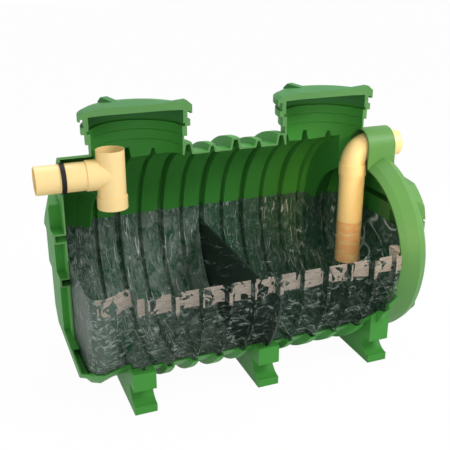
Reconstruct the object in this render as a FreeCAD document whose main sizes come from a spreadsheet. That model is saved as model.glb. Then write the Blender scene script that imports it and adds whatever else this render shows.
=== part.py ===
import FreeCAD, Part
import math
import os
import Sketcher

# Grease separator, a horizontal ribbed tank shown in section.
# x runs along the tank from inlet to outlet, y to the back, z up from the floor; mm.

os.makedirs("parts", exist_ok=True)

doc = FreeCAD.newDocument("grease_separator")
sheet = doc.addObject("Spreadsheet::Sheet", "dims")

SIZES = {
    # barrel: a drum, with ribs whose rings sit a little higher than its axis
    "axis_height": 680.0,
    "shell_radius": 629.0,
    "wall": 10.0,
    "half_length": 800.0,
    "rib_pitch": 147.0,
    "tall_rib": 45.0,
    "tall_lift": 15.0,
    "tall_flat": 22.0,
    "short_rib": 33.0,
    "short_lift": 4.0,
    "short_flat": 17.0,
    "rib_run": 16.0,
    # end caps: radii of their rings, lengths from one ring to the next, drops below the barrel's sole
    "waist_radius": 520.0,
    "step_radius": 557.0,
    "step_drop": 5.0,
    "flank_run": 80.0,
    "ring_radius": 585.0,
    "ring_drop": 25.0,
    "ring_run": 66.0,
    "dish_depth": 84.0,
    "knuckle": 95.0,
    # raised panels of the ends: bottoms from the barrel's axis, heights and rises
    "end_rib_reach": 420.0,
    "end_rib_height": 58.0,
    "end_rib_upper": 180.0,
    "upper_panel": 196.0,
    "end_rib_rise": 62.0,
    "end_rib_middle": -90.0,
    "middle_panel": 258.0,
    "middle_rise": 46.0,
    "end_rib_lower": -480.0,
    "lower_panel": 378.0,
    "lower_rise": 34.0,
    # feet
    "foot_pitch": 740.0,
    "foot_width": 128.0,
    "foot_front": 520.0,
    "foot_block": 48.0,
    "foot_ledge": 148.0,
    "foot_drop": 260.0,
    # section: its low edge below the barrel's axis, its side past the barrel's end
    "cut_low": 425.0,
    "cut_side": 45.0,
    "cut_corner": 400.0,
    # risers: centre in from the barrel's end, neck's top above the crown, lid's seat above the bead
    "riser_x": 212.0,
    "neck_radius": 289.0,
    "neck_top": 158.0,
    "neck_band": 57.0,
    "groove_depth": 18.0,
    "bead_reach": 20.0,
    "bead_height": 38.0,
    "collar_lip": 4.0,
    "lid_base": 45.0,
    "lid_radius": 322.0,
    "lid_rim": 12.0,
    "lid_drip": 12.0,
    "lid_edge": 20.0,
    "lid_shoulder": 36.0,
    "lid_shoulder_in": 32.0,
    "lid_crown": 54.0,
    "lid_plate": 40.0,
    "plug_gap": 1.0,
    "plug_depth": 66.0,
    "lug_rise": 10.0,
    "lug_width": 46.0,
    "lug_length": 150.0,
    # pipes: axis above the barrel's axis, ends past the end wall, fittings in from the end wall
    "pipe_radius": 80.0,
    "spigot_step": 1.0,
    "pipe_wall": 5.0,
    "socket_wall": 6.0,
    "socket_length": 70.0,
    "pipe_axis": 560.0,
    "pipe_end": 135.0,
    "outlet_end": 76.0,
    "seal_width": 26.0,
    "seal_proud": 1.0,
    "seal_thickness": 6.0,
    "hood_radius": 114.0,
    "hood_start": 40.0,
    "hood_foot": 300.0,
    "tee_x": 282.0,
    "tee_top": 136.0,
    "tee_bottom": 200.0,
    "dip_x": 230.0,
    "dip_bottom": 765.0,
    "bend_radius": 110.0,
    # baffle: top below the barrel's axis
    "baffle_thickness": 12.0,
    "baffle_top": 40.0,
    # how far cutting forms reach past what they cut
    "tool_margin": 100.0,
}
for row, (alias, size) in enumerate(SIZES.items(), start=1):
    sheet.set("A%d" % row, alias)
    sheet.set("B%d" % row, repr(size))
    sheet.setAlias("B%d" % row, alias)
doc.recompute()


class Dim:
    """A linear sum of sheet sizes, with its value and its expression."""

    def __init__(self, const=0.0, terms=None):
        self.const = float(const)
        self.terms = dict(terms or {})

    def __add__(self, other):
        other = as_dim(other)
        terms = dict(self.terms)
        for alias, k in other.terms.items():
            terms[alias] = terms.get(alias, 0.0) + k
        return Dim(self.const + other.const, terms)

    __radd__ = __add__

    def __mul__(self, k):
        return Dim(self.const * k, {a: v * k for a, v in self.terms.items()})

    __rmul__ = __mul__

    def __neg__(self):
        return self * -1.0

    def __sub__(self, other):
        return self + as_dim(other) * -1.0

    def __rsub__(self, other):
        return as_dim(other) + self * -1.0

    def value(self):
        return self.const + sum(k * SIZES[a] for a, k in self.terms.items())

    def text(self):
        sums = ["%.6f * dims.%s" % (k, a) for a, k in self.terms.items()]
        return " + ".join(sums + ["%.6f" % self.const])


def as_dim(x):
    return x if isinstance(x, Dim) else Dim(x)


def s(alias):
    return Dim(0.0, {alias: 1.0})


def bind(obj, prop, size):
    size = as_dim(size)
    setattr(obj, prop, size.value())
    if size.terms:
        obj.setExpression(prop, size.text())


def turn(ex, ey, ez):
    """The rotation that takes the local axes to these directions."""
    m = FreeCAD.Matrix(ex[0], ey[0], ez[0], 0, ex[1], ey[1], ez[1], 0, ex[2], ey[2], ez[2], 0, 0, 0, 0, 1)
    return FreeCAD.Placement(m).Rotation


PLAIN = FreeCAD.Rotation()
UPRIGHT = turn((0, 0, 1), (1, 0, 0), (0, 1, 0))
ALONG_X = turn((0, 1, 0), (0, 0, 1), (1, 0, 0))
ALONG_Y = UPRIGHT
QUARTER = turn((-1, 0, 0), (0, 0, 1), (0, 1, 0))
HALF_TURN = 180.0


def place(obj, at, rot=PLAIN):
    dims = [as_dim(a) for a in at]
    obj.Placement = FreeCAD.Placement(FreeCAD.Vector(*[a.value() for a in dims]), rot)
    for axis, a in zip("xyz", dims):
        if a.terms:
            obj.setExpression(".Placement.Base." + axis, a.text())
    return obj


def revolved(name, points, at, rot=PLAIN, angle=360.0):
    """A body turned about its own x axis from a closed outline of (along, radius) sizes."""
    body = doc.addObject("PartDesign::Body", name)
    sketch = body.newObject("Sketcher::SketchObject", name + "_outline")
    plane = [f for f in body.Origin.OriginFeatures if f.Role == "XY_Plane"][0]
    sketch.AttachmentSupport = (plane, [""])
    sketch.MapMode = "FlatFace"
    pts = [(as_dim(a), as_dim(r)) for a, r in points]
    vec = [FreeCAD.Vector(a.value(), r.value(), 0) for a, r in pts]
    n = len(vec)
    sketch.addGeometry([Part.LineSegment(vec[i], vec[(i + 1) % n]) for i in range(n)], False)
    rules = [Sketcher.Constraint("Coincident", i, 2, (i + 1) % n, 1) for i in range(n)]
    driven = []
    for i, (a, r) in enumerate(pts):
        for size, kind, axis in ((a, "DistanceX", -2), (r, "DistanceY", -1)):
            if not size.terms and size.const == 0.0:
                rules.append(Sketcher.Constraint("PointOnObject", i, 1, axis))
            else:
                rules.append(Sketcher.Constraint(kind, -1, 1, i, 1, size.value()))
                if size.terms:
                    driven.append((len(rules) - 1, size))
    sketch.addConstraint(rules)
    for index, size in driven:
        sketch.setExpression("Constraints[%d]" % index, size.text())
    feature = body.newObject("PartDesign::Revolution", name + "_turn")
    feature.Profile = sketch
    feature.ReferenceAxis = (sketch, ["H_Axis"])
    feature.Angle = angle
    place(body, at, rot)
    return body


def lofted(name, rings):
    """A solid through circles across x, each given as (x, height, radius)."""
    sections = []
    for i, (x, z, radius) in enumerate(rings):
        ring = doc.addObject("Part::Circle", "%s_ring_%d" % (name, i))
        bind(ring, "Radius", radius)
        sections.append(place(ring, (x, 0, z), ALONG_X))
    loft = doc.addObject("Part::Loft", name)
    loft.Sections = sections
    loft.Solid = True
    loft.Ruled = True
    return loft


def cylinder(name, radius, height, at, rot=PLAIN, angle=360.0):
    obj = doc.addObject("Part::Cylinder", name)
    bind(obj, "Radius", radius)
    bind(obj, "Height", height)
    obj.Angle = angle
    return place(obj, at, rot)


def box(name, length, width, height, at, rot=PLAIN):
    obj = doc.addObject("Part::Box", name)
    bind(obj, "Length", length)
    bind(obj, "Width", width)
    bind(obj, "Height", height)
    return place(obj, at, rot)


def joined(kind, name, shapes):
    obj = doc.addObject(kind, name)
    obj.Shapes = shapes
    obj.Refine = True
    return obj


def fuse(name, shapes):
    return joined("Part::MultiFuse", name, shapes)


def common(name, shapes):
    return joined("Part::MultiCommon", name, shapes)


def cut(name, base, tools):
    """The base less each tool in turn."""
    for i, tool in enumerate(tools, start=1):
        obj = doc.addObject("Part::Cut", name if i == len(tools) else "%s_cut_%d" % (name, i))
        obj.Base = base
        obj.Tool = tool
        obj.Refine = True
        base = obj
    return base


nodes = []


def node(obj, label):
    obj.Label = label
    nodes.append(obj)
    return obj


# Places that several pieces share

SIDES = (("inlet", -1.0), ("outlet", 1.0))
NONE = Dim(0.0)
WALL = s("wall")
MARGIN = s("tool_margin")
AXIS = s("axis_height")
SOLE = AXIS - s("shell_radius")
PIPE_AXIS = AXIS + s("pipe_axis")
STEP_X = s("half_length") + s("flank_run")
RING_X = STEP_X + s("ring_run")
RING_Z = SOLE - s("ring_drop") + s("ring_radius")
END_X = RING_X + s("dish_depth")
RISER_X = s("half_length") - s("riser_x")
NECK_TOP = AXIS + s("shell_radius") + s("neck_top")
SEAT = NECK_TOP + s("bead_height") + s("lid_base")
CUT_LOW = AXIS - s("cut_low")
CUT_SIDE = s("half_length") + s("cut_side")
REACH = END_X + s("pipe_end") + MARGIN
HEIGHT = SEAT + s("lid_crown") + MARGIN
PIPE = s("pipe_radius")
BODY = PIPE + s("spigot_step")
BORE = PIPE - s("pipe_wall")
SOCKET = BODY + s("socket_wall")
HOLE = BODY + s("seal_thickness")
TEE_LOW = PIPE_AXIS - s("tee_bottom")


def span(name, radius, x0, x1, z=PIPE_AXIS):
    """A round bar along x."""
    return cylinder(name, radius, x1 - x0, (x0, 0, z), ALONG_X)


def sector(name, start, sweep):
    """A wedge of space round the barrel's axis, in degrees from the back towards the top."""
    a = math.radians(start)
    rot = turn((0, math.cos(a), math.sin(a)), (0, -math.sin(a), math.cos(a)), (1, 0, 0))
    radius = s("shell_radius") + s("tall_rib") + s("tall_lift") + MARGIN
    return cylinder(name, radius, 2 * REACH, (-REACH, 0, AXIS), rot, sweep)


# Barrel

# as many ribs to either side of the middle one as the barrel's length takes, tall and short in turn
RIB_ROOM = SIZES["half_length"] - max(SIZES["tall_flat"], SIZES["short_flat"]) - SIZES["rib_run"]
RIB_COUNT = int(RIB_ROOM // SIZES["rib_pitch"])
TALL_RIBS = [k for k in range(-RIB_COUNT, RIB_COUNT + 1) if k % 2 == 0]
SHORT_RIBS = [k for k in range(-RIB_COUNT, RIB_COUNT + 1) if k % 2]


def comb(name, orders, rise, lift, flat, inset):
    """The rings of one kind of rib, on a core that stays inside the drum."""
    radius = s("shell_radius") + s(rise) - inset
    core = s("shell_radius") - s(lift) - 2 * WALL - inset
    top = s(flat) - inset
    low = s(flat) + s("rib_run") - inset
    pts = []
    for k in orders:
        mid = k * s("rib_pitch")
        pts += [(mid - low, core), (mid - top, radius), (mid + top, radius), (mid + low, core)]
    return revolved(name, [(pts[0][0], 0)] + pts + [(pts[-1][0], 0)], (0, 0, AXIS + s(lift)))


def drum(name, inset):
    half = s("half_length") - inset
    plain = span(name + "_plain", s("shell_radius") - inset, -half, half, AXIS)
    tall = comb(name + "_tall", TALL_RIBS, "tall_rib", "tall_lift", "tall_flat", inset)
    short = comb(name + "_short", SHORT_RIBS, "short_rib", "short_lift", "short_flat", inset)
    return fuse(name, [plain, tall, short])


barrel_form = drum("barrel_form", NONE)
barrel_hollow = drum("barrel_hollow", WALL)
barrel_shell = cut("barrel_shell", barrel_form, [barrel_hollow])

# End caps: a waist, a raised ring and a rounded flat end, whose bottoms lie level with the barrel's sole

KNUCKLE_STEPS = (30, 60, 90)


def cap(name, sign, inset, starts):
    rings = [(x, SOLE + s("waist_radius"), s("waist_radius") - inset) for x in starts]
    rings += [(STEP_X, SOLE - s("step_drop") + s("step_radius"), s("step_radius") - inset),
              (RING_X, RING_Z, s("ring_radius") - inset)]
    for step in KNUCKLE_STEPS:
        a = math.radians(step)
        along = (s("dish_depth") - inset) * math.sin(a)
        inward = s("knuckle") * (1.0 - math.cos(a))
        rings.append((RING_X + along, RING_Z, s("ring_radius") - inset - inward))
    return lofted(name, [(sign * x, z, r) for x, z, r in rings])


waist_x = s("half_length")
cap_form = {side: cap(side + "_cap_form", sign, NONE, [waist_x]) for side, sign in SIDES}
cap_hollow = {side: cap(side + "_cap_hollow", sign, WALL, [waist_x - 2 * WALL, waist_x])
              for side, sign in SIDES}

# Hoods over the pipes


def hood(name, sign, near, far, inset):
    x0, x1 = (near, far) if sign > 0 else (-far, -near)
    half = s("hood_radius") - inset
    low = PIPE_AXIS - s("hood_foot")
    return fuse(name, [span(name + "_arch", half, x0, x1),
                       box(name + "_legs", x1 - x0, 2 * half, s("hood_foot"), (x0, -half, low))])


hood_form = {side: hood(side + "_hood_form", sign, s("half_length") + s("hood_start"), END_X, NONE)
             for side, sign in SIDES}
hood_hollow = {side: hood(side + "_hood_hollow", sign, s("half_length") - MARGIN, END_X - WALL, WALL)
               for side, sign in SIDES}

# Section: the front is cut away above a low edge as far as the outlet cap, with one rounded corner

CORNER = s("cut_corner")
front = box("front_space", 2 * REACH, REACH, HEIGHT, (-REACH, -REACH, CUT_LOW))
corner_block = box("corner_block", CORNER, REACH, CORNER, (CUT_SIDE - CORNER, -REACH, CUT_LOW))
corner_round = cylinder("corner_round", CORNER, REACH + 2 * MARGIN,
                        (CUT_SIDE - CORNER, -REACH - MARGIN, CUT_LOW + CORNER), ALONG_Y)
corner = cut("corner_fillet", corner_block, [corner_round])
outlet_front = box("outlet_front", REACH, REACH, HEIGHT, (CUT_SIDE, -REACH, CUT_LOW))
kept = fuse("front_kept", [corner, outlet_front])
gone = cut("front_gone", front, [kept])

GROOVE = s("neck_radius") - s("groove_depth")
SEAM_BEHIND = FreeCAD.Rotation(FreeCAD.Vector(0, 0, 1), 225)
neck_bore = {side: cylinder(side + "_neck_bore", GROOVE - WALL, HEIGHT, (sign * RISER_X, 0, TEE_LOW),
                            SEAM_BEHIND) for side, sign in SIDES}
neck_form = {side: cylinder(side + "_neck_form", GROOVE, HEIGHT, (sign * RISER_X, 0, AXIS), PLAIN, HALF_TURN)
             for side, sign in SIDES}

# Barrel segments

EIGHTH = 45
open_shell = cut("barrel_open", barrel_shell, [cap_hollow["inlet"], cap_hollow["outlet"]])
openings = [form[side] for form in (neck_bore, hood_hollow) for side, sign in SIDES]
for label, start in (("barrel_crown", EIGHTH), ("barrel_back_upper", 0)):
    segment = common(label + "_segment", [open_shell, sector(label + "_wedge", start, EIGHTH)])
    node(cut(label, segment, openings), label)
for label, start in (("barrel_back_lower", -EIGHTH), ("barrel_sole_back", -2 * EIGHTH)):
    node(common(label, [open_shell, sector(label + "_wedge", start, EIGHTH)]), label)
front_low = common("front_low", [open_shell, sector("front_low_wedge", 4 * EIGHTH, 2 * EIGHTH)])
node(cut("barrel_sole_front", front_low, [front]), "barrel_sole_front")
node(common("barrel_outlet_front_lower", [front_low, kept]), "barrel_outlet_front_lower")

# Ends: the caps with raised panels to either side of the pipe's flat strip, and a rib across under each pair

PANELS = (("end_rib_upper", "upper_panel", "end_rib_rise"), ("end_rib_middle", "middle_panel", "middle_rise"),
          ("end_rib_lower", "lower_panel", "lower_rise"))


def panel_pair(name, sign, low, tall, rise, inset):
    depth = s("dish_depth") + s(rise) - inset
    x0 = RING_X if sign > 0 else -RING_X - depth
    half = s("end_rib_reach") - inset
    strip = s("hood_radius") + inset
    bottom = AXIS + s(low)
    block = box(name + "_block", depth, 2 * half, s(tall) - 2 * inset, (x0, -half, bottom + inset))
    gap = box(name + "_strip", depth, 2 * strip, s(tall), (x0, -strip, bottom + s("end_rib_height") - inset))
    return cut(name, block, [gap])


def panels(name, sign, inset):
    """The panels and ribs of one end, trimmed to a low dome."""
    rise = s("end_rib_rise") - inset
    radius = s("ring_radius") - inset
    dome = lofted(name + "_dome", [(sign * RING_X, RING_Z, radius),
                                   (sign * (END_X + 0.5 * rise), RING_Z, radius - 0.5 * s("knuckle")),
                                   (sign * (END_X + rise), RING_Z, radius - 1.5 * s("knuckle"))])
    pairs = [panel_pair("%s_%s" % (name, tall), sign, low, tall, rise_size, inset)
             for low, tall, rise_size in PANELS]
    return common(name, [dome, fuse(name + "_pairs", pairs)])


end_shell = {}
for side, sign in SIDES:
    outer = fuse(side + "_end_outer", [cap_form[side], panels(side + "_panels", sign, NONE)])
    inner = fuse(side + "_end_inner", [cap_hollow[side], panels(side + "_cores", sign, WALL)])
    end_shell[side] = cut(side + "_end_shell", cut(side + "_end_wall", outer, [inner]), [hood_hollow[side]])
node(cut("end_inlet", end_shell["inlet"], [front]), "end_inlet")
node(common("end_outlet_back", [end_shell["outlet"], sector("end_back_wedge", -90, HALF_TURN)]),
     "end_outlet_back")
front_cap = common("end_front_half", [end_shell["outlet"], sector("end_front_wedge", 90, HALF_TURN)])
node(cut("end_outlet_front", front_cap, [gone]), "end_outlet_front")

# Hood walls, with the round hole for each pipe and its seal

for side, sign in SIDES:
    x0 = sign * END_X - MARGIN
    hole = span(side + "_pipe_hole", HOLE, x0, x0 + 2 * MARGIN)
    walls = cut(side + "_hood_walls", hood_form[side],
                [hood_hollow[side], cap_form[side], neck_form[side], hole])
    if side == "inlet":
        walls = cut("hood_inlet_back", walls, [front])
    node(walls, "hood_" + side)

# Risers: neck, collar and lid, turned about upright axes, back halves only

LUG_ANGLES = (0, 110)


def neck(name, side, at):
    band = NECK_TOP - s("neck_band")
    tube = revolved(name + "_tube", [
        (TEE_LOW, GROOVE - WALL), (TEE_LOW, GROOVE), (band, GROOVE), (band, s("neck_radius")),
        (NECK_TOP, s("neck_radius")), (NECK_TOP, GROOVE - WALL),
    ], at, UPRIGHT, HALF_TURN)
    return cut(name, tube, [barrel_form, cap_form[side], hood_hollow[side]])


def collar(name, at):
    bead = NECK_TOP + s("bead_height")
    inside = s("neck_radius") - WALL
    outside = s("neck_radius") + s("bead_reach")
    lip = s("neck_radius") + s("collar_lip")
    return revolved(name, [(NECK_TOP, inside), (NECK_TOP, outside), (bead, outside), (bead, lip),
                           (SEAT, lip), (SEAT, inside)], at, UPRIGHT, HALF_TURN)


def lid(name, at):
    rim = s("lid_radius")
    flat = rim - s("lug_length")
    plug = s("neck_radius") - WALL - s("plug_gap")
    crown = SEAT + s("lid_crown")
    under = crown - s("lid_plate")
    plate = revolved(name + "_plate", [
        (under, 0), (crown, 0), (crown, flat), (SEAT + s("lid_shoulder"), rim - s("lid_shoulder_in")),
        (SEAT + s("lid_edge"), rim), (SEAT - s("lid_drip"), rim), (SEAT - s("lid_drip"), rim - s("lid_rim")),
        (SEAT, rim - s("lid_rim")), (SEAT, plug), (SEAT - s("plug_depth"), plug),
        (SEAT - s("plug_depth"), plug - WALL), (SEAT + s("lid_edge") - WALL, plug - WALL), (under, flat),
    ], at, UPRIGHT, HALF_TURN)
    ramp = revolved(name + "_ramp", [
        (SEAT + s("lid_edge"), flat), (crown, flat), (crown + s("lug_rise"), rim - s("lid_shoulder_in")),
        (SEAT + s("lid_shoulder"), rim), (SEAT + s("lid_edge"), rim),
    ], at, UPRIGHT, HALF_TURN)
    bars = [box("%s_bar_%d" % (name, angle), rim, s("lug_width"), HEIGHT, at,
                FreeCAD.Rotation(FreeCAD.Vector(0, 0, 1), angle)) for angle in LUG_ANGLES]
    lugs = common(name + "_lugs", [ramp, fuse(name + "_bars", bars)])
    return fuse(name, [plate, lugs])


for side, sign in SIDES:
    at = (sign * RISER_X, 0, 0)
    node(neck("neck_" + side, side, at), "neck_" + side)
    node(collar("collar_" + side, at), "collar_" + side)
    node(lid("lid_" + side, at), "lid_" + side)

# Feet: hollow blocks under the barrel, each end with a quarter-round recess

FOOT_ENDS = (("front", -1.0), ("back", 1.0))


def scoop(name, left, sign, grow):
    """The quarter-round recess in one end of a foot, or the same form grown by a wall."""
    radius = s("foot_ledge") - s("foot_block")
    wide = s("foot_width") + 2 * MARGIN
    y = sign * s("foot_front")
    bar = cylinder(name + "_round", radius + grow, wide, (left - MARGIN, y, s("foot_ledge")), ALONG_X)
    above = box(name + "_above", wide, 2 * radius + 4 * WALL, radius + 2 * WALL,
                (left - MARGIN, y - radius - 2 * WALL, s("foot_ledge") + grow))
    return cut(name, bar, [above])


def foot(name, middle, rests_under):
    wide, deep = s("foot_width"), s("foot_front")
    left = middle - 0.5 * wide
    top = AXIS - s("foot_drop")
    block = box(name + "_block", wide, 2 * deep, top, (left, -deep, 0))
    hollow = box(name + "_hollow", wide - 2 * WALL, 2 * deep - 2 * WALL, top,
                 (left + WALL, WALL - deep, WALL))
    recesses = [scoop("%s_recess_%s" % (name, tag), left, sign, NONE) for tag, sign in FOOT_ENDS]
    guards = [scoop("%s_guard_%s" % (name, tag), left, sign, WALL) for tag, sign in FOOT_ENDS]
    cavity = cut(name + "_cavity", hollow, guards)
    return cut(name + "_walls", block, recesses + [cavity] + rests_under)


pitch = s("foot_pitch")
node(cut("foot_inlet", foot("foot_inlet", -pitch, [barrel_form, cap_form["inlet"]]), [front]), "foot_inlet")
node(cut("foot_middle", foot("foot_middle", NONE, [barrel_form]), [front]), "foot_middle")
node(foot("foot_outlet", pitch, [barrel_form, cap_form["outlet"]]), "foot_outlet")

# Pipes through the end walls, with their seals

dip_x = END_X - s("dip_x")
seal_out = END_X + s("seal_proud")
seal_in = seal_out - s("seal_width")
tee_start = END_X - 2 * s("socket_length")


def through_pipe(side, sign, tip, back):
    def run(name, radius, near, far):
        return span(side + name, radius, near, far) if sign > 0 else span(side + name, radius, -far, -near)

    skin = fuse(side + "_pipe_skin", [run("_spigot", PIPE, seal_out, tip),
                                      run("_body", BODY, back, seal_out)])
    node(cut(side + "_pipe", skin, [run("_bore", BORE, back - MARGIN, tip + MARGIN)]), side + "_pipe")
    ring = run("_seal_ring", HOLE, seal_in, seal_out)
    node(cut(side + "_seal", ring, [run("_seal_bore", BODY, back, tip)]), side + "_seal")


through_pipe("inlet", -1.0, END_X + s("pipe_end"), tee_start)
through_pipe("outlet", 1.0, END_X + s("outlet_end"), dip_x + s("bend_radius"))

# Tee at the inlet

tee_x = s("tee_x") - END_X
tee_tall = s("tee_top") + s("tee_bottom")
tee_skin = fuse("tee_skin", [
    span("tee_arm", BODY, -tee_start, tee_x),
    span("tee_socket", SOCKET, -tee_start, s("socket_length") - tee_start),
    cylinder("tee_post", BODY, tee_tall, (tee_x, 0, TEE_LOW)),
    cylinder("tee_base", SOCKET, s("socket_length"), (tee_x, 0, TEE_LOW)),
])
node(cut("inlet_tee", tee_skin, [
    span("tee_arm_bore", BORE, -tee_start - MARGIN, tee_x),
    cylinder("tee_post_bore", BORE, tee_tall + 2 * MARGIN, (tee_x, 0, TEE_LOW - MARGIN)),
]), "inlet_tee")

# Elbow and dip pipe at the outlet

BEND = s("bend_radius")
CUP_LOW = PIPE_AXIS - BEND - s("socket_length")


def quarter_bend(name, radius):
    torus = doc.addObject("Part::Torus", name)
    bind(torus, "Radius1", BEND)
    bind(torus, "Radius2", radius)
    torus.Angle3 = 90.0
    return place(torus, (dip_x + BEND, 0, PIPE_AXIS - BEND), QUARTER)


elbow_skin = fuse("elbow_skin", [quarter_bend("elbow_bend", BODY),
                                 cylinder("elbow_cup", SOCKET, s("socket_length"), (dip_x, 0, CUP_LOW))])
node(cut("outlet_elbow", elbow_skin, [
    quarter_bend("elbow_bore", BORE),
    cylinder("elbow_cup_bore", BORE, s("socket_length") + MARGIN, (dip_x, 0, CUP_LOW - MARGIN)),
]), "outlet_elbow")
dip_low = PIPE_AXIS - s("dip_bottom")
dip_skin = cylinder("dip_skin", BODY, CUP_LOW - dip_low, (dip_x, 0, dip_low))
dip_bore = cylinder("dip_bore", BORE, CUP_LOW - dip_low + 2 * MARGIN, (dip_x, 0, dip_low - MARGIN))
node(cut("outlet_dip_pipe", dip_skin, [dip_bore]), "outlet_dip_pipe")

# Baffle: a weir plate that stands in the middle tall rib's channel

channel = s("shell_radius") + s("tall_rib") - WALL
thick = s("baffle_thickness")
node(common("baffle", [
    box("baffle_plate", thick, 2 * channel, AXIS - s("baffle_top"), (-0.5 * thick, -channel, 0)),
    span("baffle_trim", channel, -thick, thick, AXIS + s("tall_lift")),
]), "baffle")

doc.recompute()

for obj in doc.Objects:
    if "Invalid" in obj.State or "Error" in obj.State:
        raise RuntimeError("%s did not build: %s" % (obj.Label, obj.State))
for obj in nodes:
    shape = obj.Shape
    if shape.isNull() or not shape.isValid() or not shape.Solids:
        raise RuntimeError("%s has no sound solid" % obj.Label)
    print(obj.Label, len(shape.Solids), "solid,", len(shape.Faces), "faces")
for obj in nodes:
    obj.Shape.exportStep(os.path.join("parts", obj.Label + ".step"))
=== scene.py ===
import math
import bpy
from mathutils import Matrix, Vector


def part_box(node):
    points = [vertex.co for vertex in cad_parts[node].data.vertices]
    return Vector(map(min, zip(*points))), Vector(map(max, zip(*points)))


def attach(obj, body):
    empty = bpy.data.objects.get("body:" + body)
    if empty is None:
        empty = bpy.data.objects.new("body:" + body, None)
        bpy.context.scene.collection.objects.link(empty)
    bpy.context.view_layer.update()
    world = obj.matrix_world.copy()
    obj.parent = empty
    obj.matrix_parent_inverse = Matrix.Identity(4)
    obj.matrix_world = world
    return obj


bl_info = {
    "name": "Sectioned grease separator",
    "version": (1, 1, 0),
    "blender": (4, 5, 0),
    "location": "View3D > Sidebar > Separator",
    "description": "Dresses a sectioned grease separator tank with its finishes, water and stage",
    "category": "Object",
}

import bpy

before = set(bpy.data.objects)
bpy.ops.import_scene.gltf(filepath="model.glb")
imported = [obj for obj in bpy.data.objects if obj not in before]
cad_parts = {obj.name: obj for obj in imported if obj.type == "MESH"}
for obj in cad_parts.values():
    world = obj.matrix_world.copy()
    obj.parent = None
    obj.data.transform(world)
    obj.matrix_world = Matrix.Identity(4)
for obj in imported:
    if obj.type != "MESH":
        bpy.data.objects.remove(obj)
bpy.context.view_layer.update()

# Places and radii read from the frame, in metres
WALL_LOW, WALL_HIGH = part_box("barrel_back_upper")
AXIS_Z = WALL_LOW.z
TALL_RADIUS = WALL_HIGH.y
BARREL_HALF = WALL_HIGH.x
END_LOW, END_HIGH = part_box("end_outlet_back")
RING_RADIUS = END_HIGH.y
RING_Z = END_LOW.z + RING_RADIUS
END_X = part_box("hood_outlet")[1].x

# Nodes by their finish
# painted sheen and light: the outlet end and hood take a paler, whiter copy of the shell green
LIT_PALE_NODES = ["end_outlet_front", "hood_outlet"]
SHELL_NODES = [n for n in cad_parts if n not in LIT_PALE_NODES
               and n.split("_")[0] in ("barrel", "end", "hood", "neck", "collar", "foot")]
LID_NODES = [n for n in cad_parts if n.startswith("lid")]
SEAL_NODES = [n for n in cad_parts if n.endswith("seal")]
PIPE_NODES = ["inlet_pipe", "inlet_tee", "outlet_pipe", "outlet_elbow"]
WET_NODES = ["outlet_dip_pipe"]

# Counts
RIBS_EACH_SIDE = 5
WATER_SIDES = 160
BEAD_SIDES = 96
BEAD_FACETS = 8

# Noise patterns of the finishes: stretch along X, Y and Z, scale, detail and distortion
GREY_PATCHES = ((1.0, 0.6, 0.6), 13.0, 3.0, 1.2)
FOIL = ((1.0, 0.5, 0.5), 21.0, 3.0, 2.2)
CREASES = ((1.0, 0.10, 0.10), 15.0, 2.0, 0.5)
GLINT_PATCHES = ((1.0, 1.0, 1.0), 9.0, 3.0, 0.0)
LEVEL_RIPPLES = ((0.30, 1.0, 1.6), 24.0, 4.0, 1.0)
FLECKS = ((0.6, 1.0, 1.4), 24.0, 3.0, 1.4)
# spots of the painted reflection in the pale band under the water's front edge
BAND_REFLECTION_SPOTS = ((1.0, 1.0, 1.0), 15.0, 2.0, 1.0)
PIPE_RIPPLES = ((0.3, 0.3, 1.6), 30.0, 3.0, 1.0)

# Shares in the finishes
MOTTLE_DARK, MOTTLE_LIGHT = 0.82, 1.14
GLOSS_SPREAD = 0.12
GREY_BY_OUTLET = 0.35
FOIL_SHARE = 0.30
END_SHADE = 0.75
END_MURK = 0.5
FLECK_SHARE = 0.60
COVER_ON_TOP = 0.08
COVER_BELOW = 0.22
COVER_BY_END = 0.50
COVER_OF_GLINTS = 0.94
WHITE = (1.0, 1.0, 1.0, 1.0)

# Lamps: place, what it lights, size in metres and power in watts
AREA_LIGHTS = {
    "key_light": ((3.4, -3.2, 4.6), (0.2, 0.0, 0.7), 2.4, 200.0),
    "fill_light": ((-2.6, -4.4, 2.6), (0.0, 0.0, 0.7), 3.0, 40.0),
    "top_light": ((0.0, 1.6, 5.0), (0.0, 0.0, 0.7), 3.5, 80.0),
}
SPOT_PLACE = (0.4, -3.8, 1.7)
SPOT_AIM = (0.83, 0.0, 0.95)
SPOT_CONE = 12.0
SPOT_POWER = 540.0
SPOT_COLOUR = (1.0, 0.70, 0.30)
WORLD_STRENGTH = 0.55
FLOOR_SIZE = 60.0
FLOOR_WHITE = 0.97

# Camera: metres, degrees and millimetres
CAMERA_PLACE = (-1.579, -3.827, 2.425)
CAMERA_DIP = 21.127
CAMERA_TURN = 21.535
CAMERA_LENS = 58.23
CAMERA_SENSOR = 36.0


def length(name, description, default):
    return bpy.props.FloatProperty(name=name, description=description, default=default,
                                   unit="LENGTH", precision=4)


def colour(name, description, default):
    return bpy.props.FloatVectorProperty(name=name, description=description, default=default,
                                         subtype="COLOR", size=3, min=0.0, max=1.0)


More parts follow.
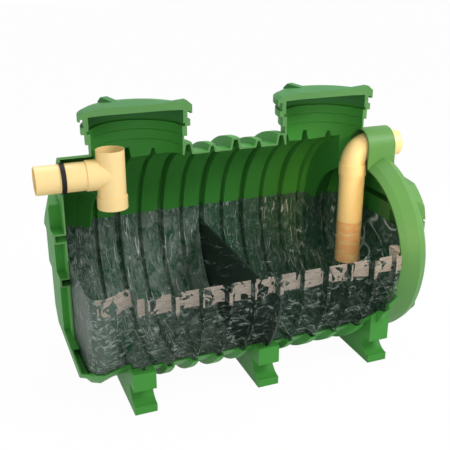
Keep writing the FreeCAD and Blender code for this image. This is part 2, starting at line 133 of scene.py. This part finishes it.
class SeparatorSizes(bpy.types.PropertyGroup):
    """Sizes of what the scene adds"""

    water_level: length("Water level", "Height of the still water above the floor", 0.755)
    water_gap: length("Water gap", "Distance kept between the water and the wall", 0.002)
    wall: length("Wall", "Thickness of the moulded wall", 0.010)
    rib_pitch: length("Rib pitch", "Distance from one barrel rib to the next", 0.147)
    tall_rise: length("Tall rib rise", "Radius of a tall rib over the drum's", 0.045)
    tall_lift: length("Tall rib lift", "Height of a tall rib's centre over the drum's axis", 0.015)
    short_rise: length("Short rib rise", "Radius of a short rib over the drum's", 0.033)
    short_lift: length("Short rib lift", "Height of a short rib's centre over the drum's axis", 0.004)
    tall_flat: length("Tall rib half width", "Half of a tall rib's inner flat", 0.012)
    short_flat: length("Short rib half width", "Half of a short rib's inner flat", 0.007)
    rib_run: length("Rib run", "How far a rib's flank spreads from top to foot", 0.010)
    waist_radius: length("Waist radius", "Outer radius where an end cap meets the barrel", 0.520)
    waist_lap: length("Waist lap", "How far the water's first end ring lies past the barrel's last", 0.001)
    step_radius: length("Step radius", "Outer radius at the foot of an end's ring", 0.557)
    step_run: length("Step run", "Length from the barrel's end to the foot of the ring", 0.080)
    ring_run: length("Ring run", "Length from the foot of the ring to its top", 0.066)
    knuckle: length("Knuckle", "How far an end's rounded corner draws in", 0.095)
    bead_radius: length("Bead radius", "Half the thickness of the beads inside the risers", 0.004)
    bead_drop: length("Bead drop", "From a neck's top to the upper bead inside it", 0.056)
    bead_pitch: length("Bead pitch", "From the upper bead inside a neck to the lower one", 0.059)
    bore_inset: length("Bore inset", "From a neck's outer radius to its bore", 0.028)
    foot_width: length("Foot width", "Width of a foot along the tank", 0.128)
    foot_front: length("Foot front", "Distance from the tank's middle to a foot's end", 0.520)
    cover_drop: length("Cover drop", "How far a foot's cover lies under the section's low edge", 0.0005)
    front_edge: length("Front edge", "Height of the section's low edge above the floor", 0.255)
    section_skin: length("Section skin", "Distance from the middle plane that counts as the section", 0.0006)
    # the pale band is a painted reflection under the water's front edge
    band_depth: length("Sludge band", "Depth of the pale band under the water's front edge", 0.105)
    band_ragged: length("Band raggedness", "How far the pale band's lower edge wanders", 0.06)


class SeparatorColours(bpy.types.PropertyGroup):
    """Colours of the finishes"""

    shell: colour("Shell green", "Moulded shell", (0.058, 0.282, 0.046))
    # painted sheen and light: a paler, whiter copy of the shell green for the outlet end and hood
    pale: colour("Pale green", "Outlet end and hood", (0.100, 0.265, 0.064))
    lid: colour("Lid green", "Moulded lids", (0.060, 0.222, 0.064))
    cut_face: colour("Cut face", "Bare plastic on the section's faces", (0.115, 0.285, 0.090))
    pipe: colour("Pipe", "Drain pipe", (0.975, 0.720, 0.320))
    wet_pipe: colour("Wet pipe", "Drain pipe where it stands in the water", (1.000, 0.520, 0.200))
    seal: colour("Seal", "Rubber seal", (0.010, 0.008, 0.007))
    baffle: colour("Baffle", "Cross baffle", (0.020, 0.036, 0.026))
    water: colour("Water", "Body of the water", (0.023, 0.112, 0.050))
    # grey patches: partly murk in the water and partly painted reflection
    murk_and_reflection: colour("Murk", "Grey patches in the water", (0.180, 0.250, 0.203))
    skin: colour("Skin", "The water's near surface", (0.015, 0.030, 0.022))
    glint: colour("Glint", "Streaks on the water", (0.600, 0.700, 0.635))
    # painted reflection: the pale patches under the water's front edge
    band_reflection: colour("Painted reflection", "Pale patches under the water's front edge", (0.350, 0.305, 0.255))
    floor: colour("Floor", "Studio floor", (0.92, 0.92, 0.92))


# Shader helpers

def new_material(name):
    mat = bpy.data.materials.new(name)
    mat.use_nodes = True
    mat.node_tree.nodes.clear()
    return mat


def opaque(tone):
    return (*tone, 1.0)


def add(tree, kind, **inputs):
    """A node with the values of the inputs that are named"""
    made = tree.nodes.new(kind)
    for key, value in inputs.items():
        made.inputs[key.replace("_", " ")].default_value = value
    return made


def feed(tree, socket, value):
    """Gives an input a link, a number or a colour, or leaves it as it is"""
    if isinstance(value, bpy.types.NodeSocket):
        tree.links.new(value, socket)
    elif value is not None:
        socket.default_value = value


def math_node(tree, operation, *values):
    """A Math node whose inputs are sockets or numbers"""
    made = tree.nodes.new("ShaderNodeMath")
    made.operation = operation
    for socket, value in zip(made.inputs, values):
        feed(tree, socket, value)
    return made.outputs["Value"]


def times(tree, first, second):
    return math_node(tree, "MULTIPLY", first, second)


def within(tree, value, low, high):
    """Runs from 0 to 1 as the value goes from low to high"""
    made = tree.nodes.new("ShaderNodeMapRange")
    made.inputs["From Min"].default_value = low
    made.inputs["From Max"].default_value = high
    tree.links.new(value, made.inputs["Value"])
    return made.outputs["Result"]


def blend(tree, factor, first, second, kind="MIX"):
    """A colour mix whose ends are sockets or colours"""
    made = tree.nodes.new("ShaderNodeMix")
    made.data_type = "RGBA"
    made.blend_type = kind
    for label, value in (("Factor", factor), ("A", first), ("B", second)):
        feed(tree, made.inputs[label], value)
    return made.outputs["Result"]


def object_place(tree):
    """The place on the object, as one vector and as its X, Y and Z"""
    where = tree.nodes.new("ShaderNodeTexCoord").outputs["Object"]
    apart = tree.nodes.new("ShaderNodeSeparateXYZ")
    tree.links.new(where, apart.inputs["Vector"])
    return where, apart.outputs


def stretched_noise(tree, where, stretch, scale, detail, distortion):
    """Noise drawn out along an axis by a small scale there"""
    moved = add(tree, "ShaderNodeMapping", Scale=stretch)
    tree.links.new(where, moved.inputs["Vector"])
    noise = add(tree, "ShaderNodeTexNoise", Scale=scale, Detail=detail, Distortion=distortion)
    tree.links.new(moved.outputs["Vector"], noise.inputs["Vector"])
    return noise.outputs["Fac"]


def hairlines(tree, value, width):
    """1 on the thin lines where a noise crosses its middle"""
    off = math_node(tree, "ABSOLUTE", math_node(tree, "SUBTRACT", value, 0.5))
    return within(tree, off, width, 0.0)


def show_surface(tree, shader, kind="ShaderNodeOutputMaterial"):
    """Ends a material or a world in one shader"""
    tree.links.new(shader, tree.nodes.new(kind).inputs["Surface"])


# Moulded plastic

def open_group(name, inputs, outputs):
    group = bpy.data.node_groups.new(name, "ShaderNodeTree")
    for label, kind in inputs:
        group.interface.new_socket(label, in_out="INPUT", socket_type=kind)
    for label, kind in outputs:
        group.interface.new_socket(label, in_out="OUTPUT", socket_type=kind)
    return group, group.nodes.new("NodeGroupInput").outputs, group.nodes.new("NodeGroupOutput").inputs


def moulded_group(sizes):
    """Soft mottling and a fine orange-peel height, as on moulded plastic, with a bare tone on the section"""
    tint, number = "NodeSocketColor", "NodeSocketFloat"
    group, given, put = open_group(
        "Moulded plastic",
        (("Base", tint), ("Cut", tint), ("Mottle", number), ("Gloss", number), ("Grain", number)),
        (("Colour", tint), ("Roughness", number), ("Height", number)))
    link = group.links.new
    where, along = object_place(group)
    cloud = add(group, "ShaderNodeTexNoise", Scale=5.0, Detail=4.0)
    fine = add(group, "ShaderNodeTexNoise", Detail=2.0)
    link(where, cloud.inputs["Vector"])
    link(where, fine.inputs["Vector"])
    link(given["Grain"], fine.inputs["Scale"])
    off_middle = math_node(group, "ABSOLUTE", along["Y"])
    on_section = math_node(group, "LESS_THAN", off_middle, sizes.section_skin)
    ground = blend(group, on_section, given["Base"], given["Cut"])
    shade = add(group, "ShaderNodeMapRange", To_Min=MOTTLE_DARK, To_Max=MOTTLE_LIGHT)
    link(cloud.outputs["Fac"], shade.inputs["Value"])
    link(blend(group, given["Mottle"], ground, shade.outputs["Result"], "MULTIPLY"), put["Colour"])
    rough = math_node(group, "MULTIPLY_ADD", cloud.outputs["Fac"], GLOSS_SPREAD, given["Gloss"])
    link(rough, put["Roughness"])
    link(fine.outputs["Fac"], put["Height"])
    return group


def moulded_material(name, group, base, cut, mottle, gloss, grain, bump, specular):
    mat = new_material(name)
    tree = mat.node_tree
    link = tree.links.new
    made = tree.nodes.new("ShaderNodeGroup")
    made.node_tree = group
    for label, value in (("Base", opaque(base)), ("Cut", opaque(cut)), ("Mottle", mottle),
                         ("Gloss", gloss), ("Grain", grain)):
        made.inputs[label].default_value = value
    plastic = add(tree, "ShaderNodeBsdfPrincipled", Specular_IOR_Level=specular)
    relief = add(tree, "ShaderNodeBump", Strength=bump, Distance=0.001)
    link(made.outputs["Colour"], plastic.inputs["Base Color"])
    link(made.outputs["Roughness"], plastic.inputs["Roughness"])
    link(made.outputs["Height"], relief.inputs["Height"])
    link(relief.outputs["Normal"], plastic.inputs["Normal"])
    show_surface(tree, plastic.outputs["BSDF"])
    return mat


def wet_below(mat, level, tone):
    """Deepens a finish under the water, with level ripples of the dry tone"""
    tree = mat.node_tree
    base = tree.nodes["Principled BSDF"].inputs["Base Color"]
    dry = base.links[0].from_socket
    where, along = object_place(tree)
    ripple = within(tree, stretched_noise(tree, where, *PIPE_RIPPLES), 0.48, 0.62)
    wet = blend(tree, ripple, opaque(tone), dry)
    under = within(tree, along["Z"], level, level - 0.006)
    tree.links.new(blend(tree, under, dry, wet), base)


def dress(nodes, mat):
    for name in nodes:
        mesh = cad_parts[name].data
        mesh.materials.clear()
        mesh.materials.append(mat)


# Water finishes

def water_shader(tree, tint, height, roughness, alpha=None):
    """Ends a water material in one shader with a tint, a relief and how far it covers"""
    link = tree.links.new
    relief = add(tree, "ShaderNodeBump", Strength=1.0, Distance=0.020)
    link(height, relief.inputs["Height"])
    body = add(tree, "ShaderNodeBsdfPrincipled", Roughness=roughness, IOR=1.333, Specular_IOR_Level=0.15)
    link(tint, body.inputs["Base Color"])
    link(relief.outputs["Normal"], body.inputs["Normal"])
    if alpha:
        link(alpha, body.inputs["Alpha"])
    show_surface(tree, body.outputs["BSDF"])


def murk_and_reflection_material(tones):
    """The far side of the water against the wall: murk with painted reflections and highlights, crumpled
    like foil, greyer by the inlet
    """
    mat = new_material("water_murk_and_reflection")
    tree = mat.node_tree
    where, along = object_place(tree)
    cloud = stretched_noise(tree, where, *GREY_PATCHES)
    crumple = stretched_noise(tree, where, *FOIL)
    crease = stretched_noise(tree, where, *CREASES)
    # grey patches, partly murk in the water and partly painted reflection, fewer towards the outlet
    by_inlet = within(tree, along["X"], 0.10, -0.10)
    greyness = math_node(tree, "MULTIPLY_ADD", by_inlet, 1.0 - GREY_BY_OUTLET, GREY_BY_OUTLET)
    grey = times(tree, within(tree, cloud, 0.32, 0.54), greyness)
    tint = blend(tree, grey, opaque(tones.water), opaque(tones.murk_and_reflection))
    # painted reflection: light foil-like patches in the glint tone
    foil = times(tree, within(tree, crumple, 0.52, 0.66), FOIL_SHARE)
    tint = blend(tree, foil, tint, opaque(tones.glint))
    tint = blend(tree, hairlines(tree, cloud, 0.010), tint, opaque(tones.baffle))
    # painted highlights: thin white streaks along the creases, in patches
    patchy = within(tree, stretched_noise(tree, where, *GLINT_PATCHES), 0.46, 0.56)
    streak = times(tree, hairlines(tree, crease, 0.009), patchy)
    tint = blend(tree, streak, tint, WHITE)
    # painted shade: the flat end by the inlet shows from outside the tank, with no skin before it, and is
    # darkened towards the skin's tone
    at_end = within(tree, along["X"], 0.025 - END_X, 0.015 - END_X)
    tint = blend(tree, times(tree, at_end, END_SHADE), tint, opaque(tones.skin))
    water_shader(tree, tint, math_node(tree, "ADD", crumple, crease), 0.30)
    return mat


def skin_material(tones, sizes):
    """The water's near skin: clear, with painted white glints, and pale patches of painted reflection along
    its front edge
    """
    mat = new_material("still_water")
    tree = mat.node_tree
    where, along = object_place(tree)
    facing = tree.nodes.new("ShaderNodeSeparateXYZ")
    normal = tree.nodes.new("ShaderNodeNewGeometry").outputs["True Normal"]
    tree.links.new(normal, facing.inputs["Vector"])
    level = stretched_noise(tree, where, *LEVEL_RIPPLES)
    crumple = stretched_noise(tree, where, *FLECKS)
    patchy = within(tree, stretched_noise(tree, where, *GLINT_PATCHES), 0.50, 0.60)
    depth = math_node(tree, "SUBTRACT", sizes.water_level, along["Z"])
    below = within(tree, depth, 0.0005, 0.001)
    # painted reflection: pale patches just under the front edge, on what faces the front
    raised = math_node(tree, "SUBTRACT", depth, 0.5 * sizes.band_ragged)
    ragged = math_node(tree, "MULTIPLY_ADD", level, sizes.band_ragged, raised)
    band = within(tree, ragged, sizes.band_depth, sizes.band_depth - 0.01)
    forward = within(tree, facing.outputs["Y"], -0.60, -0.75)
    spots = within(tree, stretched_noise(tree, where, *BAND_REFLECTION_SPOTS), 0.43, 0.46)
    pale = times(tree, times(tree, band, forward), times(tree, below, spots))
    # glints: long level ones all over, small flecks below the water's top
    level_glint = times(tree, hairlines(tree, level, 0.009), patchy)
    flecks = times(tree, within(tree, crumple, 0.50, 0.68), below)
    glint = math_node(tree, "MAXIMUM", level_glint, times(tree, flecks, FLECK_SHARE))
    # murkier at the inlet end, where the water stands clear of the tank
    past_barrel = within(tree, along["X"], -0.02 - BARREL_HALF, -0.12 - BARREL_HALF)
    by_end = times(tree, past_barrel, below)
    ground = blend(tree, times(tree, by_end, END_MURK), opaque(tones.skin), opaque(tones.murk_and_reflection))
    tint = blend(tree, glint, ground, opaque(tones.glint))
    tint = blend(tree, pale, tint, opaque(tones.band_reflection))
    cover = math_node(tree, "MULTIPLY_ADD", below, COVER_BELOW, COVER_ON_TOP)
    cover = math_node(tree, "MULTIPLY_ADD", by_end, COVER_BY_END, cover)
    marks = times(tree, math_node(tree, "MAXIMUM", glint, pale), COVER_OF_GLINTS)
    cover = math_node(tree, "MAXIMUM", cover, marks)
    water_shader(tree, tint, math_node(tree, "ADD", level, crumple), 0.12, cover)
    return mat


# Modelling helpers

def clear_selection():
    if bpy.context.object and bpy.context.object.mode != "OBJECT":
        bpy.ops.object.mode_set(mode="OBJECT")
    bpy.ops.object.select_all(action="DESELECT")


def settle(piece, name, mat):
    """Names a finished mesh, gives it its finish and lets it ride on the tank"""
    piece.name = name
    piece.data.name = name
    piece.data.materials.clear()
    piece.data.materials.append(mat)
    bpy.ops.object.transform_apply(location=True, rotation=True, scale=True)
    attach(piece, "root")


def end_stations(sizes):
    """Rings of the water inside the outlet cap, from the barrel to the end wall: (x, height, radius)"""
    inset = sizes.wall + sizes.water_gap
    sole = AXIS_Z - (TALL_RADIUS - sizes.tall_rise)
    step_x = BARREL_HALF + sizes.step_run
    ring_x = step_x + sizes.ring_run
    rings = [(x, sole + sizes.waist_radius, sizes.waist_radius - inset)
             for x in (BARREL_HALF - inset + sizes.waist_lap, BARREL_HALF)]
    rings.append((step_x, sole + sizes.step_radius, sizes.step_radius - inset))
    rings.append((ring_x, RING_Z, RING_RADIUS - inset))
    for degrees in (30, 60, 90):
        turn = math.radians(degrees)
        rings.append((ring_x + (END_X - ring_x - inset) * math.sin(turn), RING_Z,
                      RING_RADIUS - inset - sizes.knuckle * (1.0 - math.cos(turn))))
    return rings


def barrel_stations(sizes):
    """Rings of the water inside the barrel and its hollow ribs: (x, height, radius)"""
    inset = sizes.wall + sizes.water_gap
    drum = TALL_RADIUS - sizes.tall_rise - inset
    half = BARREL_HALF - inset
    rings = [(-half, AXIS_Z, drum)]
    for k in range(-RIBS_EACH_SIDE, RIBS_EACH_SIDE + 1):
        tall = k % 2 == 0
        rise = sizes.tall_rise if tall else sizes.short_rise
        lift = sizes.tall_lift if tall else sizes.short_lift
        flat = (sizes.tall_flat if tall else sizes.short_flat) - sizes.water_gap
        mid = k * sizes.rib_pitch
        foot, top = (AXIS_Z, drum), (AXIS_Z + lift, drum + rise)
        rings += [(mid - flat - sizes.rib_run, *foot), (mid - flat, *top), (mid + flat, *top),
                  (mid + flat + sizes.rib_run, *foot)]
    return rings + [(half, AXIS_Z, drum)]


def cover_outline(sizes, middle, top, rib_x, rise, lift, flat):
    """Outline of a cut foot's cover, notched round the barrel rib that stands in the foot: (x, y)"""
    drum = TALL_RADIUS - sizes.tall_rise
    half = 0.5 * sizes.foot_width - sizes.wall
    front = sizes.wall - sizes.foot_front
    lap = 0.5 * sizes.wall
    back = -math.sqrt((drum - lap) ** 2 - (AXIS_Z - top) ** 2)
    rib = -math.sqrt((drum + rise - lap) ** 2 - (AXIS_Z + lift - top) ** 2)
    near, far = flat + lap, flat + sizes.rib_run + lap
    return [(middle - half, front), (middle + half, front), (middle + half, back), (rib_x + far, back),
            (rib_x + near, rib), (rib_x - near, rib), (rib_x - far, back), (middle - half, back)]


# Stage helpers

def white_to_view(tree, share):
    """A share of plain white for camera, glossy and transmission rays, and none for the rest"""
    seen = tree.nodes.new("ShaderNodeLightPath").outputs
    other = math_node(tree, "MAXIMUM", seen["Is Glossy Ray"], seen["Is Transmission Ray"])
    return times(tree, math_node(tree, "MAXIMUM", seen["Is Camera Ray"], other), share)


def mix_shaders(tree, factor, first, second):
    mix = tree.nodes.new("ShaderNodeMixShader")
    tree.links.new(factor, mix.inputs["Fac"])
    tree.links.new(first, mix.inputs[1])
    tree.links.new(second, mix.inputs[2])
    return mix.outputs["Shader"]


def floor_material(tone):
    """A pale floor that shows near white to the camera and keeps the tank's shadow"""
    mat = new_material("studio_floor")
    tree = mat.node_tree
    matt = add(tree, "ShaderNodeBsdfDiffuse", Color=opaque(tone))
    white = add(tree, "ShaderNodeEmission", Strength=1.0)
    show_surface(tree, mix_shaders(tree, white_to_view(tree, FLOOR_WHITE), matt.outputs["BSDF"],
                                   white.outputs["Emission"]))
    return mat


def light_world(scene):
    """Even grey light, white behind the tank"""
    world = bpy.data.worlds.new("studio")
    scene.world = world
    world.use_nodes = True
    tree = world.node_tree
    tree.nodes.clear()
    soft = add(tree, "ShaderNodeBackground", Strength=WORLD_STRENGTH, Color=WHITE)
    white = add(tree, "ShaderNodeBackground", Strength=1.0, Color=WHITE)
    show_surface(tree, mix_shaders(tree, white_to_view(tree, 1.0), soft.outputs["Background"],
                                   white.outputs["Background"]), "ShaderNodeOutputWorld")


def hang(lamp, place, aim):
    """Sets a lamp in its place, turned to what it lights"""
    holder = bpy.data.objects.new(lamp.name, lamp)
    bpy.context.scene.collection.objects.link(holder)
    holder.location = place
    offset = [a - b for a, b in zip(aim, place)]
    reach = math.hypot(offset[0], offset[1])
    holder.rotation_euler = (math.atan2(reach, -offset[2]), 0.0, math.atan2(-offset[0], offset[1]))


def area_light(name, place, aim, size, power):
    lamp = bpy.data.lights.new(name, "AREA")
    lamp.size = size
    lamp.energy = power
    hang(lamp, place, aim)


def outlet_light():
    """A warm spot on the outlet's elbow and dip pipe"""
    lamp = bpy.data.lights.new("outlet_light", "SPOT")
    lamp.spot_size = math.radians(SPOT_CONE)
    lamp.spot_blend = 0.8
    lamp.shadow_soft_size = 0.4
    lamp.color = SPOT_COLOUR
    lamp.energy = SPOT_POWER
    hang(lamp, SPOT_PLACE, SPOT_AIM)


def photo_camera(scene):
    cam = bpy.data.cameras.new("photo_camera")
    cam.sensor_width = CAMERA_SENSOR
    cam.lens = CAMERA_LENS
    holder = bpy.data.objects.new("photo_camera", cam)
    scene.collection.objects.link(holder)
    holder.location = CAMERA_PLACE
    holder.rotation_euler = (math.radians(90.0 - CAMERA_DIP), 0.0, math.radians(-CAMERA_TURN))
    scene.camera = holder


# Operators

class SEPARATOR_OT_shell(bpy.types.Operator):
    """Gives the moulded shell, lids and feet their green plastic finish"""

    bl_idname = "separator.shell"
    bl_label = "Finish shell"

    def execute(self, context):
        tones = context.scene.separator_colours
        group = moulded_group(context.scene.separator_sizes)
        for nodes, name, tone, specular in (
                (SHELL_NODES, "moulded_green", tones.shell, 0.12),
                # the paler copy paints sheen and light on the outlet end and hood
                (LIT_PALE_NODES, "lit_pale_green", tones.pale, 0.3),
                (LID_NODES, "lid_green", tones.lid, 0.05)):
            dress(nodes, moulded_material(name, group, tone, tones.cut_face, mottle=0.5, gloss=0.40,
                                          grain=320.0, bump=0.06, specular=specular))
        return {"FINISHED"}


class SEPARATOR_OT_fittings(bpy.types.Operator):
    """Gives the pipes, seals and baffle their finishes"""

    bl_idname = "separator.fittings"
    bl_label = "Finish fittings"

    def execute(self, context):
        tones = context.scene.separator_colours
        group = bpy.data.node_groups["Moulded plastic"]
        for nodes, name, tone, mottle, gloss, grain, bump, specular in (
                (PIPE_NODES, "drain_pipe", tones.pipe, 0.15, 0.26, 60.0, 0.02, 0.5),
                (WET_NODES, "dip_pipe", tones.pipe, 0.15, 0.26, 60.0, 0.02, 0.5),
                (SEAL_NODES, "seal_rubber", tones.seal, 0.3, 0.55, 500.0, 0.10, 0.3),
                (["baffle"], "baffle_black", tones.baffle, 0.3, 0.45, 200.0, 0.05, 0.3)):
            dress(nodes, moulded_material(name, group, tone, tone, mottle, gloss, grain, bump, specular))
        wet_below(bpy.data.materials["dip_pipe"], context.scene.separator_sizes.water_level, tones.wet_pipe)
        return {"FINISHED"}


class SEPARATOR_OT_beads(bpy.types.Operator):
    """Models the two moulded beads round the inner wall of each riser's neck"""

    bl_idname = "separator.beads"
    bl_label = "Add riser beads"

    def execute(self, context):
        sizes = context.scene.separator_sizes
        green = bpy.data.materials["moulded_green"]
        for side in ("inlet", "outlet"):
            low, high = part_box("neck_" + side)
            middle = 0.5 * (low.x + high.x)
            bore = 0.5 * (high.x - low.x) - sizes.bore_inset
            clear_selection()
            rings = []
            for drop in (sizes.bead_drop, sizes.bead_drop + sizes.bead_pitch):
                bpy.ops.mesh.primitive_torus_add(major_segments=BEAD_SIDES, minor_segments=BEAD_FACETS,
                                                 major_radius=bore, minor_radius=sizes.bead_radius,
                                                 location=(middle, 0, high.z - drop))
                rings.append(context.object)
            for ring in rings:
                ring.select_set(True)
            context.view_layer.objects.active = rings[0]
            bpy.ops.object.join()
            bpy.ops.object.mode_set(mode="EDIT")
            bpy.ops.mesh.select_all(action="SELECT")
            bpy.ops.mesh.bisect(plane_co=(0, 0, 0), plane_no=(0, -1, 0), use_fill=True, clear_outer=True)
            bpy.ops.object.mode_set(mode="OBJECT")
            bpy.ops.object.shade_smooth_by_angle(angle=math.radians(50))
            settle(rings[0], "neck_beads_" + side, green)
        return {"FINISHED"}


class SEPARATOR_OT_covers(bpy.types.Operator):
    """Closes the tops of the two feet that the section opens, round the barrel rib that stands in each"""

    bl_idname = "separator.covers"
    bl_label = "Add foot covers"

    def execute(self, context):
        sizes = context.scene.separator_sizes
        green = bpy.data.materials["moulded_green"]
        top = sizes.front_edge - sizes.cover_drop
        short_rib = (-RIBS_EACH_SIDE * sizes.rib_pitch, sizes.short_rise, sizes.short_lift, sizes.short_flat)
        tall_rib = (0.0, sizes.tall_rise, sizes.tall_lift, sizes.tall_flat)
        for side, rib in (("inlet", short_rib), ("middle", tall_rib)):
            low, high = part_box("foot_" + side)
            outline = cover_outline(sizes, 0.5 * (low.x + high.x), top, *rib)
            clear_selection()
            bpy.ops.mesh.primitive_circle_add(vertices=len(outline), radius=1.0, fill_type="NGON",
                                              location=(0, 0, 0))
            piece = context.object
            for vertex, (x, y) in zip(piece.data.vertices, outline):
                vertex.co = (x, y, top)
            bpy.ops.object.mode_set(mode="EDIT")
            bpy.ops.mesh.select_all(action="SELECT")
            bpy.ops.mesh.extrude_region_move(TRANSFORM_OT_translate={"value": (0, 0, -sizes.wall)})
            bpy.ops.mesh.select_all(action="SELECT")
            bpy.ops.mesh.normals_make_consistent(inside=False)
            bpy.ops.object.mode_set(mode="OBJECT")
            settle(piece, "foot_cover_" + side, green)
        return {"FINISHED"}


class SEPARATOR_OT_water(bpy.types.Operator):
    """Models the still water that fills the tank, its ends and its hollow ribs"""

    bl_idname = "separator.water"
    bl_label = "Add water"

    def execute(self, context):
        sizes = context.scene.separator_sizes
        tones = context.scene.separator_colours
        clear_selection()
        end = end_stations(sizes)
        stations = [(-x, z, r) for x, z, r in reversed(end)] + barrel_stations(sizes) + end
        x, z, radius = stations[0]
        bpy.ops.mesh.primitive_circle_add(vertices=WATER_SIDES, radius=radius, fill_type="NGON",
                                          location=(x, 0, z), rotation=(0, math.pi / 2, 0))
        piece = context.object
        bpy.ops.object.transform_apply(location=True, rotation=True, scale=True)
        bpy.ops.object.mode_set(mode="EDIT")
        for new_x, new_z, new_radius in stations[1:]:
            bpy.ops.mesh.extrude_region_move(TRANSFORM_OT_translate={"value": (new_x - x, 0, new_z - z)})
            grow = new_radius / radius
            bpy.ops.transform.resize(value=(1, grow, grow), center_override=(new_x, 0, new_z))
            x, z, radius = new_x, new_z, new_radius
        bpy.ops.mesh.select_all(action="SELECT")
        bpy.ops.mesh.fill_holes(sides=0)
        bpy.ops.mesh.select_all(action="SELECT")
        bpy.ops.mesh.bisect(plane_co=(0, 0, sizes.water_level), plane_no=(0, 0, 1), use_fill=True,
                            clear_outer=True)
        bpy.ops.mesh.select_all(action="SELECT")
        bpy.ops.mesh.normals_make_consistent(inside=False)
        bpy.ops.object.mode_set(mode="OBJECT")
        bpy.ops.object.shade_smooth_by_angle(angle=math.radians(30))
        settle(piece, "water", skin_material(tones, sizes))
        piece.data.materials.append(murk_and_reflection_material(tones))
        # the near skin on the top and the open front, the murk with its painted reflections on the rest
        for face in piece.data.polygons:
            on_top = face.normal.z > 0.9 and face.center.z > sizes.water_level - 0.001
            in_front = face.center.y < 0.0 and face.center.z > sizes.front_edge
            face.material_index = 0 if on_top or in_front else 1
        return {"FINISHED"}


class SEPARATOR_OT_stage(bpy.types.Operator):
    """Sets the pale floor, the soft studio light and the camera"""

    bl_idname = "separator.stage"
    bl_label = "Set stage"

    def execute(self, context):
        clear_selection()
        scene = context.scene
        scene.view_settings.view_transform = "Standard"
        bpy.ops.mesh.primitive_plane_add(size=FLOOR_SIZE, location=(0, 0, 0))
        floor = context.object
        floor.name = "studio_floor"
        floor.data.materials.append(floor_material(scene.separator_colours.floor))
        light_world(scene)
        for name, lamp in AREA_LIGHTS.items():
            area_light(name, *lamp)
        outlet_light()
        photo_camera(scene)
        return {"FINISHED"}


class SEPARATOR_PT_panel(bpy.types.Panel):
    """Lists the separator's steps, sizes and colours"""

    bl_idname = "SEPARATOR_PT_panel"
    bl_label = "Grease separator"
    bl_space_type = "VIEW_3D"
    bl_region_type = "UI"
    bl_category = "Separator"

    def draw(self, context):
        layout = self.layout
        for step in STEPS:
            layout.operator(step.bl_idname)
        for group in (context.scene.separator_sizes, context.scene.separator_colours):
            for key in group.__annotations__:
                layout.prop(group, key)


STEPS = (SEPARATOR_OT_shell, SEPARATOR_OT_fittings, SEPARATOR_OT_beads, SEPARATOR_OT_covers,
         SEPARATOR_OT_water, SEPARATOR_OT_stage)
CLASSES = (SeparatorSizes, SeparatorColours) + STEPS + (SEPARATOR_PT_panel,)


def register():
    for cls in CLASSES:
        bpy.utils.register_class(cls)
    bpy.types.Scene.separator_sizes = bpy.props.PointerProperty(type=SeparatorSizes)
    bpy.types.Scene.separator_colours = bpy.props.PointerProperty(type=SeparatorColours)


def unregister():
    del bpy.types.Scene.separator_colours
    del bpy.types.Scene.separator_sizes
    for cls in reversed(CLASSES):
        bpy.utils.unregister_class(cls)


def main():
    register()
    bpy.ops.separator.shell()
    bpy.ops.separator.fittings()
    bpy.ops.separator.beads()
    bpy.ops.separator.covers()
    bpy.ops.separator.water()
    bpy.ops.separator.stage()


if __name__ == "__main__":
    main()
